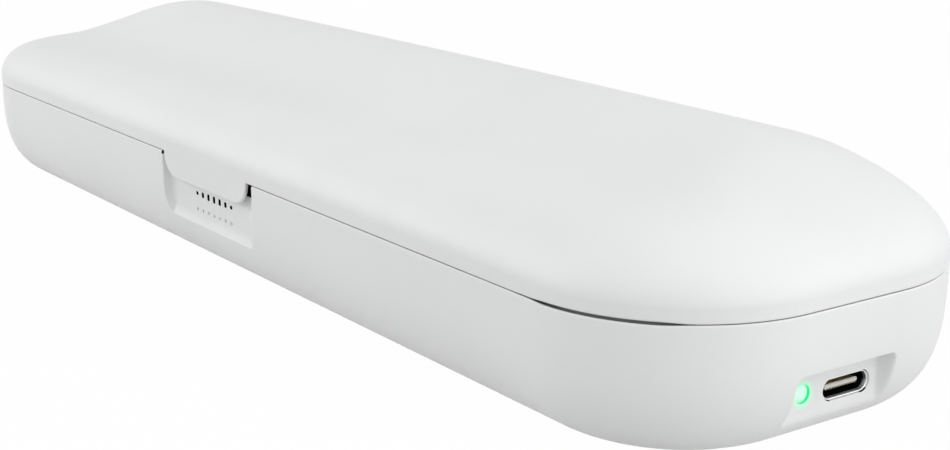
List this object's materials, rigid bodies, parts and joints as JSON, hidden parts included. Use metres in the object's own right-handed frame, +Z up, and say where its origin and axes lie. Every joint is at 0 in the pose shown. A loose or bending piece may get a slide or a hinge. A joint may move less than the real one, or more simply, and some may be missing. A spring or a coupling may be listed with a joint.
{
  "type": "electric toothbrush travel case",
  "caption": "Rounded charging travel case with a hinged, wave-topped lid, front lid tab over a vented finger recess, and a socket with status light at one end.",
  "frame": {"origin": "middle of the flat underside of the lower case, halfway along and halfway across the two shells (the hinge knuckles stand outside this)", "axes": "+X along the case to the socket end, -Y the front with the lid tab, +Y the hinge side, +Z up"},
  "size_m": [0.239, 0.0714, 0.039],
  "materials": {
    "white_shell": "fine satin",
    "inner_plastic": "fine matte",
    "nub_plastic": "semi gloss",
    "steel": "bright",
    "magnet": "plated",
    "soft_grey": "soft",
    "copper": "enamelled wire",
    "ferrite": "dull",
    "lead_sleeve": "smooth",
    "board": "solder mask",
    "chip_black": "moulded",
    "ceramic": "ceramic",
    "led_body": "clear resin",
    "lens": "frosted",
    "tongue": "moulded",
    "gold": "plated"
  },
  "bodies": {
    "base": {"base_shell": "white_shell", "base_tray": "inner_plastic", "hinge_pins": "steel", "case_screws": "steel", "screw_covers": "white_shell", "head_pegs": "nub_plastic", "cradle_pads": "soft_grey", "base_magnets": "magnet", "charge_housing": "nub_plastic", "charge_coil": "copper", "ferrite_core": "ferrite", "coil_leads": "lead_sleeve", "main_board": "board", "board_screws": "steel", "charge_chips": "chip_black", "board_parts": "ceramic", "status_led": "led_body", "status_lens": "lens", "usb_shell": "steel", "usb_tongue": "tongue", "usb_contacts": "gold"},
    "lid": {"lid_shell": "white_shell", "lid_liner": "inner_plastic", "lid_magnets": "magnet", "lid_pads": "soft_grey"}
  },
  "joints": [
    {"name": "lid_hinge", "type": "hinge", "parent": "base", "child": "lid", "pos_m": [0, 0.035, 0.0209], "axis": [-1, 0, 0], "range_deg": [0, 105]}
  ]
}
